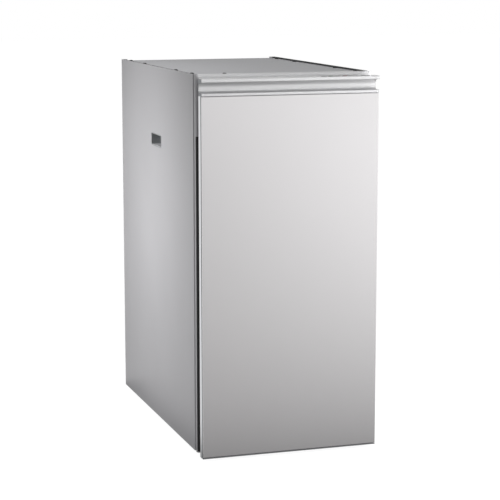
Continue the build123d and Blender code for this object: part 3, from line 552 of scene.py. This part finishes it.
def thread_rod():
    """Rolled trapezoidal thread, a right-hand helix cut flat at both ends, on the upright axis."""
    root, crest, flat = 7.6, 9.9, 1.83
    half_turn = LEAD / 2
    profile = [(root, 0), (root, flat), (crest, half_turn), (crest, half_turn + flat), (root, LEAD)]
    # The profile starts as a line of points 1 mm apart; spare turns at both ends are cut off later
    half_line, spare = 2.0, 2
    bpy.ops.object.select_all(action="DESELECT")
    bpy.ops.mesh.primitive_plane_add(
        size=2 * half_line * MM, location=metres(0, 0, THREAD_LOW - spare * LEAD)
    )
    rod = bpy.context.object
    bpy.ops.object.mode_set(mode="EDIT")
    pick(rod, "VERT", lambda point: point.co.x < 0)
    bpy.ops.mesh.delete(type="VERT")
    bpy.ops.mesh.select_all(action="SELECT")
    bpy.ops.mesh.subdivide(number_cuts=len(profile) - 2)
    for step, (radius, height) in enumerate(profile):
        along = step - half_line
        pick(
            rod,
            "VERT",
            lambda point: abs(point.co.y / MM - along) < 0.1 and point.co.x / MM < half_line + 1,
        )
        bpy.ops.transform.translate(value=metres(radius - half_line, -along, height))
    bpy.ops.object.mode_set(mode="OBJECT")
    turns = math.ceil((THREAD_HIGH - THREAD_LOW) / LEAD) + 2 * spare
    apply_modifier(
        rod,
        "SCREW",
        axis="Z",
        angle=2 * math.pi,
        screw_offset=LEAD * MM,
        iterations=turns,
        steps=20,
        render_steps=20,
        use_merge_vertices=False,
    )
    close_mesh(rod)
    bpy.ops.object.mode_set(mode="EDIT")
    for height, drop_low in ((THREAD_LOW, True), (THREAD_HIGH, False)):
        bpy.ops.mesh.select_all(action="SELECT")
        bpy.ops.mesh.bisect(
            plane_co=metres(0, 0, height),
            plane_no=(0, 0, 1),
            use_fill=True,
            clear_inner=drop_low,
            clear_outer=not drop_low,
        )
    bpy.ops.object.mode_set(mode="OBJECT")
    settle(rod)
    close_mesh(rod)
    return rod


def power_screws():
    """Two threaded screws with their collars and journals, in place of the plain ones."""
    journal, collar, chamfer = 8.0, 13.0, 0.6
    collar_low, collar_high = 52.2, 56.2
    foot_chamfer, run_in, top_chamfer = 1.0, 0.5, 1.2
    for side in ("left", "right"):
        axis = middle(f"{side}_power_screw")
        foot = lowest(f"{side}_power_screw").z
        top = highest(f"{side}_power_screw").z
        lower_end = [
            (journal - foot_chamfer, foot), (journal, foot + foot_chamfer), (journal, collar_low),
            (collar - chamfer, collar_low), (collar, collar_low + chamfer),
            (collar, collar_high - chamfer), (collar - chamfer, collar_high),
            (journal, collar_high), (journal, THREAD_LOW - run_in), (journal - chamfer, THREAD_LOW),
        ]
        upper_end = [
            (journal - chamfer, THREAD_HIGH), (journal, THREAD_HIGH + chamfer),
            (journal, top - top_chamfer), (journal - top_chamfer, top),
        ]
        ends = [turned("screw_end", steps, 32) for steps in (lower_end, upper_end)]
        model = joined("screw_model", thread_rod(), *ends)
        screw = placed(model, f"{side}_threaded_screw", [(axis.x, axis.y, 0)])
        dress(screw, f"{side}_screw", "screw_steel")
        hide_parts(f"{side}_power_screw")


# Screws and bolts

def pan_head(shank):
    """Cross-recess screw with a domed head 9 mm across, seated at height 0 on the upright axis."""
    steps = [
        (1.5, -shank), (2.1, 0.8 - shank), (2.1, 0), (4.35, 0), (4.5, 0.2), (4.5, 1.5), (4.3, 2.3),
        (3.7, 2.95), (2.7, 3.4), (1.6, 3.58),
    ]
    screw = turned("pan_head", steps, 28)
    recess_floor = 2.0
    wing = box_piece("wing", (-2.4, -0.45, recess_floor), (2.4, 0.45, 4.0))
    only(wing)
    bpy.ops.object.mode_set(mode="EDIT")
    pick(wing, "FACE", lambda face: face.normal.z < -0.9)
    bpy.ops.transform.resize(value=(0.55, 0.7, 1), center_override=metres(0, 0, recess_floor))
    bpy.ops.object.mode_set(mode="OBJECT")
    for quarter in (0, math.pi / 2):
        wing.rotation_euler = (0, 0, quarter)
        bpy.context.view_layer.update()
        apply_modifier(screw, "BOOLEAN", object=wing, operation="DIFFERENCE", solver="EXACT")
    bpy.data.objects.remove(wing)
    close_mesh(screw)
    return screw


def hex_bolt(width, head, washer, washer_height):
    """Hexagon bolt head with a chamfered crown on a round washer, seated at height 0."""
    base = turned("washer", [(washer - 0.3, 0), (washer, 0.3), (washer, washer_height)], 28)
    bpy.ops.object.select_all(action="DESELECT")
    bpy.ops.mesh.primitive_cylinder_add(
        vertices=6,
        radius=width / 2 / math.cos(math.pi / 6) * MM,
        depth=head * MM,
        location=metres(0, 0, washer_height + head / 2),
    )
    crown = bpy.context.object
    settle(crown)
    # Inset and rise of each step of the crown, as shares of its width
    chamfer, dish = (0.08, 0.04), (0.16, -0.03)
    bpy.ops.object.mode_set(mode="EDIT")
    pick(crown, "FACE", lambda face: face.normal.z > 0.9)
    for inset_share, rise_share in (chamfer, dish):
        bpy.ops.mesh.inset(thickness=width * inset_share * MM)
        bpy.ops.transform.translate(value=metres(0, 0, width * rise_share))
    bpy.ops.object.mode_set(mode="OBJECT")
    return joined("hex_bolt", base, crown)


def top_screws():
    """Black screws that hold the top panel, in place of the plain ones."""
    surface = highest("top_panel").z
    columns, rows = (-178, 178), (-226.5, -104.5, 157.5, 283.5)
    places = [(x, y, surface) for y in rows for x in columns]
    front_screw = (-117, -253.5, surface)
    screws = placed(pan_head(shank=8), "top_screw_set", places + [front_screw])
    dress(screws, "cabinet", "black_screw")
    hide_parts("top_screws")


def back_screws():
    """Flat flanged screws round the back panel."""
    surface = highest("back_panel").y
    sides = [(x, surface, z) for z in (40, 215, 390, 565, 740) for x in (-180.5, 180.5)]
    ends = [(x, surface, z) for z in (24, 779) for x in (-95, 0, 95)]
    screw = hex_bolt(width=6, head=1.05, washer=4.6, washer_height=0.6)
    screws = placed(screw, "back_screw_set", sides + ends, tip=-math.pi / 2)
    dress(screws, "cabinet", "black_screw")


def drive_bolts():
    """Bolts of the gear housing's flange."""
    axis = middle("gear_housing")
    flange = 6
    flange_top = lowest("gear_housing").z + flange
    places = [(axis.x + x, axis.y + y, flange_top) for x in (-66, 66) for y in (-40, 40)]
    bolt = hex_bolt(width=9, head=5.5, washer=5.7, washer_height=1.2)
    dress(placed(bolt, "gear_bolt_set", places), "cabinet", "runner_steel")


def nut_bolts():
    """Bolts of the bronze nuts' flanges."""
    flange_top = highest("power_nuts").z
    bolt_circle = 15
    diagonals = [math.pi / 4 * odd for odd in (1, 3, 5, 7)]
    places = []
    for side in ("left", "right"):
        axis = middle(f"{side}_power_screw")
        for turn in diagonals:
            x, y = bolt_circle * math.cos(turn), bolt_circle * math.sin(turn)
            places.append((axis.x + x, axis.y + y, flange_top))
    bolt = hex_bolt(width=6, head=3.4, washer=3.9, washer_height=0.8)
    dress(placed(bolt, "nut_bolt_set", places), "ram", "runner_steel")


def drawer_screws():
    """Screws that hold the drawer's sides to its front."""
    sheet, edge_distance = 2, 7
    x = highest("right_drawer_side").x - edge_distance
    y = lowest("right_drawer_side").y + sheet
    places = [(side * x, y, z) for z in (105, 185, 265, 345) for side in (-1, 1)]
    screws = placed(pan_head(shank=1.8), "drawer_screw_set", places, tip=-math.pi / 2)
    dress(screws, "drawer", "runner_steel")


def pan_screws():
    """Screws of the drawer front's inner pan."""
    surface = highest("door_pan").y
    places = [(x, surface, z) for z in (60, 230, 400, 570, 690) for x in (-158, 158)]
    screws = placed(pan_head(shank=1.0), "pan_screw_set", places, tip=-math.pi / 2)
    dress(screws, "drawer", "runner_steel")


def box_screws():
    """Screws in the front of the control box."""
    low, high = lowest("control_box"), highest("control_box")
    inset = 10
    columns, rows = (low.x + inset, high.x - inset), (low.z + inset, high.z - inset)
    places = [(x, low.y, z) for x in columns for z in rows]
    screws = placed(pan_head(shank=5), "box_screw_set", places, tip=math.pi / 2)
    dress(screws, "cabinet", "black_screw")


# Fittings

def vent_hoods():
    """Pressed hood over each vent of the back panel, open below."""
    surface = highest("back_panel").y
    hood = box_piece("hood", (-36.5, -1.0, 0.2), (36.5, 1.9, 5.6))
    remove_faces(hood, lambda face: face.normal.z < -0.9 or face.normal.y < -0.9)
    round_edges(
        hood,
        lambda edge: not edge.is_boundary and all(point.co.y > 1 * MM for point in edge.verts),
        radius=1.7,
        segments=4,
    )
    apply_modifier(hood, "SOLIDIFY", thickness=0.7 * MM, offset=-1)
    top_row, pitch = 701, 12
    places = [(x, surface, top_row - pitch * row) for x in (-82, 0, 82) for row in range(7)]
    dress(placed(hood, "vent_hood_set", places), "cabinet", "inner_sheet")


def front_cap():
    """Folded aluminium strip over the upper edge of the front frame, hiding its joints."""
    low, high = lowest("header"), highest("header")
    half_width, skirt, front_gap, top_gap = 184, 12, 0.6, 0.5
    cap = box_piece(
        "front_cap_strip",
        (-half_width, low.y - front_gap, high.z - skirt),
        (half_width, high.y, high.z + top_gap),
    )
    remove_faces(
        cap,
        lambda face: face.normal.z < -0.9 or face.normal.y > 0.9 or abs(face.normal.x) > 0.9,
    )
    round_edges(cap, lambda edge: len(edge.link_faces) == 2, radius=2.4, segments=6)
    apply_modifier(cap, "SOLIDIFY", thickness=0.5 * MM, offset=-1)
    close_mesh(cap)
    dress(cap, "cabinet", "bright_aluminium")


def seal_landings():
    """Thin black strips round the front corners of the stiles, where the drawer's seal lands."""
    stile = lowest("left_stile")
    width, bend, thickness = 8, 5, 0.25
    strips = box_piece(
        "seal_landing_strips",
        (stile.x, stile.y, lowest("door_seal").z),
        (stile.x + width, stile.y + width, highest("door_seal").z),
    )
    near_x, near_y = metres(stile.x + 1, stile.y + 1)
    round_edges(
        strips,
        lambda edge: all(point.co.x < near_x and point.co.y < near_y for point in edge.verts),
        radius=bend,
        segments=12,
    )
    remove_faces(strips, lambda face: face.normal.y > -0.5)
    apply_modifier(strips, "SOLIDIFY", thickness=thickness * MM, offset=1)
    both_sides(strips)
    dress(strips, "cabinet", "black_rubber")


def edge_gap_shade():
    """Smoke grey strips in the gaps between the drawer front's skin and its edge trims: painted shade
    in those gaps.
    """
    trim = lowest("left_edge_trim")
    inset, width, thickness = 0.3, 1.8, 0.5
    gap_shade_strips = box_piece(
        "edge_gap_shade",
        (trim.x + inset, trim.y - thickness, lowest("face_panel").z),
        (trim.x + inset + width, trim.y, highest("face_panel").z),
    )
    both_sides(gap_shade_strips)
    # The smoke grey strip paints the shade that falls in each gap
    dress(gap_shade_strips, "drawer", "black_plastic", smoke_vinyl_and_shade)


def pocket_sill_light():
    """Pale strips on the sills of the finger pockets: painted light where light falls on each sill."""
    low, high = lowest("grip_cups"), highest("grip_cups")
    front_inset, end_inset, pocket_floor = 0.6, 9.2, 6.95
    depth, thickness = 19.5, 0.8
    front, sill = low.x + front_inset, low.z + pocket_floor
    # The pale strip is painted light on each sill
    sills = box_piece(
        "pocket_sill_light_strips",
        (front, low.y + end_inset, sill),
        (front + depth, high.y - end_inset, sill + thickness),
    )
    round_edges(sills, upright, radius=2, segments=4)
    both_sides(sills)
    dress(sills, "cabinet", "grey_plastic", sill_light_abs)


def bell_cap():
    """Bearing cap on the crown of the motor's end bell."""
    axis = middle("gear_housing")
    crown = highest("motor_bell").z
    steps = [
        (19, 0), (19.5, 0.5), (19.5, 2.2), (18.6, 3), (13, 3), (12.4, 2.4), (6, 2.4), (5.6, 3.6),
        (4.6, 4),
    ]
    cap = placed(turned("cap", steps, 40), "bell_bearing_cap", [(axis.x, axis.y, crown)])
    dress(cap, "cabinet", "cast_alloy")


def capacitor_top():
    """Insulating disc and two spade tags on the capacitor."""
    x, y, _ = middle("motor_capacitor")
    z = highest("motor_capacitor").z
    disc_height, tag_top, tag_spacing = 2.4, 10.4, 12
    steps = [(13, 0), (13.4, 0.4), (13.4, 1.8), (12.8, disc_height)]
    disc = placed(turned("disc", steps, 36), "capacitor_disc", [(x, y, z)])
    dress(disc, "cabinet", "black_plastic")
    tag = box_piece("tag", (-0.4, -3.15, disc_height), (0.4, 3.15, tag_top))

    def upper_corner(edge):
        """Whether an edge is an upper corner across the tag's thickness."""
        start, end = (point.co / MM for point in edge.verts)
        return min(start.z, end.z) > tag_top - 0.4 and abs(start.x - end.x) > 0.5

    round_edges(tag, upper_corner, radius=1.6, segments=2)
    places = [(x - tag_spacing / 2, y, z), (x + tag_spacing / 2, y, z)]
    dress(placed(tag, "capacitor_tags", places), "cabinet", "runner_steel")


def control_marks():
    """Plain marks beside the controls: a bar for start, a ring for stop and a dot for the lock."""
    x, y, _ = middle("control_strip")
    z = highest("control_strip").z
    pitch, aside, height = 30, 8.5, 0.25
    half_width, half_length = 0.4, 2
    bar_x, ring_x, dot_x = (x + pitch * step - aside for step in (-1, 0, 1))
    bar = box_piece(
        "bar",
        (bar_x - half_width, y - half_length, z),
        (bar_x + half_width, y + half_length, z + height),
    )
    round_edges(bar, upright, radius=0.35, segments=3)
    bpy.ops.object.select_all(action="DESELECT")
    bpy.ops.mesh.primitive_circle_add(
        vertices=36,
        radius=half_length * MM,
        fill_type="NGON",
        location=metres(ring_x, y, z + height),
    )
    ring = bpy.context.object
    settle(ring)
    bpy.ops.object.mode_set(mode="EDIT")
    bpy.ops.mesh.select_all(action="SELECT")
    bpy.ops.mesh.inset(thickness=0.7 * MM)
    bpy.ops.mesh.delete(type="FACE")
    bpy.ops.object.mode_set(mode="OBJECT")
    apply_modifier(ring, "SOLIDIFY", thickness=height * MM, offset=-1)
    dot = turned("dot", [(0.9, 0), (0.9, 0.15), (0.75, height)], 20)
    marks = joined("control_marks", bar, ring, placed(dot, "dot", [(dot_x, y, z)]))
    close_mesh(marks)
    dress(marks, "drawer", "nylon")


power_screws()
top_screws()
back_screws()
drive_bolts()
nut_bolts()
drawer_screws()
pan_screws()
box_screws()
vent_hoods()
front_cap()
seal_landings()
edge_gap_shade()
pocket_sill_light()
bell_cap()
capacitor_top()
control_marks()


# Floor, light and camera

def background_rays(tree, level):
    """Level for the rays that show the background: camera, glossy and transmission rays."""
    rays = add(tree, "ShaderNodeLightPath", "Is Camera Ray", {})
    for name in ("Is Glossy Ray", "Is Transmission Ray"):
        kind = add(tree, "ShaderNodeLightPath", name, {})
        rays = add(tree, "ShaderNodeMath", 0, {0: rays, 1: kind}, operation="MAXIMUM")
    return add(tree, "ShaderNodeMath", 0, {0: rays, 1: level}, operation="MULTIPLY")


def pale_floor():
    """Floor that the camera, metal and glass see as white, and that still takes a soft shadow."""
    material, tree, shader, _ = blank_material("pale_floor")
    glow = background_rays(tree, FLOOR_GLOW)
    look = {"Base Color": linear("#8C8C8C"), "Roughness": 0.9, "Specular IOR Level": 0}
    feed(tree, shader, {**look, "Emission Color": WHITE, "Emission Strength": glow})
    return material


def glow_alone(tree, shader, level):
    """Black sheet that shows nothing but its white glow."""
    look = {"Base Color": BLACK, "Specular IOR Level": 0}
    feed(tree, shader, {**look, "Emission Color": WHITE, "Emission Strength": level})


def graduated_card():
    """Card on the floor for the satin door to mirror: brighter far off and to the right."""
    material, tree, shader, place = blank_material("graduated_card")
    depth = add(tree, "ShaderNodeSeparateXYZ", "Y", {"Vector": place})
    away = add(tree, "ShaderNodeMath", 0, {0: DOOR_LINE, 1: depth}, operation="SUBTRACT")
    reach = add(tree, "ShaderNodeMath", 0, {0: away, 1: CARD_REACH}, operation="ADD")
    share = add(tree, "ShaderNodeMath", 0, {0: away, 1: reach}, operation="DIVIDE")
    fade = add(
        tree,
        "ShaderNodeMath",
        0,
        {0: share, 1: CARD_RISE, 2: CARD_NEAR},
        operation="MULTIPLY_ADD",
    )
    across = add(
        tree, "ShaderNodeVectorMath", "Value", {0: place, 1: CARD_SLANT}, operation="DOT_PRODUCT"
    )
    side = add(
        tree,
        "ShaderNodeMath",
        0,
        {0: across, 1: CARD_SIDE, 2: CARD_MIDDLE},
        operation="MULTIPLY_ADD",
    )
    held = add(
        tree,
        "ShaderNodeClamp",
        "Result",
        {"Value": side, "Min": CARD_LEFT_LIMIT, "Max": CARD_RIGHT_LIMIT},
    )
    level = add(tree, "ShaderNodeMath", 0, {0: fade, 1: held}, operation="MULTIPLY")
    glow = add(tree, "ShaderNodeMath", 0, {0: level, 1: CARD_DARKEST}, operation="MAXIMUM")
    glow_alone(tree, shader, glow)
    return material


def ceiling_card():
    """Grey ceiling that shows only where a piece mirrors it."""
    material, tree, shader, _ = blank_material("ceiling_card")
    glow_alone(tree, shader, CEILING)
    return material


def lay_sheet(name, material, low, high, height):
    """Flat stage sheet between two corners, in metres."""
    bpy.ops.object.select_all(action="DESELECT")
    centre = ((low[0] + high[0]) / 2, (low[1] + high[1]) / 2, height)
    bpy.ops.mesh.primitive_plane_add(size=1, location=centre)
    sheet = bpy.context.object
    sheet.name = name
    sheet.scale = (high[0] - low[0], high[1] - low[1], 1)
    settle(sheet)
    sheet.data.materials.append(material)
    return sheet


def softbox(name, place, aim, size, power, spread=math.pi, mirrored=True):
    """Area lamp pointed at a place, with a grid that narrows its beam where the spread is small."""
    lamp = bpy.data.lights.new(name, "AREA")
    lamp.shape = "RECTANGLE"
    lamp.size, lamp.size_y = size
    lamp.energy = power
    lamp.spread = spread
    holder = bpy.data.objects.new(name, lamp)
    bpy.context.scene.collection.objects.link(holder)
    holder.location = place
    holder.visible_camera = False
    holder.visible_glossy = mirrored
    holder.rotation_euler = (Vector(aim) - Vector(place)).to_track_quat("-Z", "Y").to_euler()


def place_camera():
    """Camera at the photograph's angle, from its fitted position and axes."""
    lens = bpy.data.cameras.new("camera")
    lens.sensor_width = 36
    lens.lens = 122.36
    camera = bpy.data.objects.new("camera", lens)
    bpy.context.scene.collection.objects.link(camera)
    place = (-1.1319, -3.5565, 1.0009)
    right = Vector((0.95138, -0.30803, -0.00052))
    up = Vector((0.05092, 0.15559, 0.98651))
    forward = Vector((0.30379, 0.93857, -0.16371))
    turn = Matrix((right, up, -forward)).transposed().to_4x4()
    camera.matrix_world = Matrix.Translation(place) @ turn
    bpy.context.scene.camera = camera


def light_world():
    """White surroundings to look at, and a lower even light from them."""
    world = bpy.data.worlds.new("studio")
    bpy.context.scene.world = world
    world.use_nodes = True
    tree = world.node_tree
    shown = background_rays(tree, 1 - AMBIENT)
    level = add(tree, "ShaderNodeMath", 0, {0: shown, 1: AMBIENT}, operation="ADD")
    feed(tree, tree.nodes["Background"], {"Color": WHITE, "Strength": level})


def hang_lamps():
    """Key light on the door, a small lamp for the handle's recess, and lamps for the side and top."""
    softbox(
        "key",
        place=(0.9, -2.6, 0.95), aim=(0.0, -0.3, 0.6), size=(1.0, 1.0), power=48, mirrored=False,
    )
    softbox(
        "handle_lamp",
        place=(0.45, -0.60, 0.66), aim=(0.15, -0.33, 0.77), size=(0.1, 0.1), power=4.5,
        mirrored=False,
    )
    softbox(
        "side_lamp",
        place=(-1.087, 0.058, 0.917), aim=(-0.19, 0.075, 0.384), size=(0.12, 0.12), power=1.15,
        spread=1.115,
    )
    softbox(
        "top_lamp",
        place=(-0.19, 0.0, 1.0), aim=(-0.19, 0.0, 0.79), size=(0.1, 0.7), power=0.33,
    )


def build_stage():
    """Floor, mirrored cards, light and camera."""
    bpy.context.scene.view_settings.view_transform = "Standard"
    lay_sheet("floor", pale_floor(), low=(-20, -20), high=(20, 20), height=0)
    cards = (
        lay_sheet("card", graduated_card(), low=(-0.26, -12), high=(7, 0.4), height=0.002),
        lay_sheet("ceiling", ceiling_card(), low=(-3, -2.5), high=(3, 1.5), height=2.6),
    )
    for card in cards:
        card.visible_camera = False
        card.visible_diffuse = False
        card.visible_transmission = False
        card.visible_shadow = False
    light_world()
    hang_lamps()
    place_camera()


build_stage()
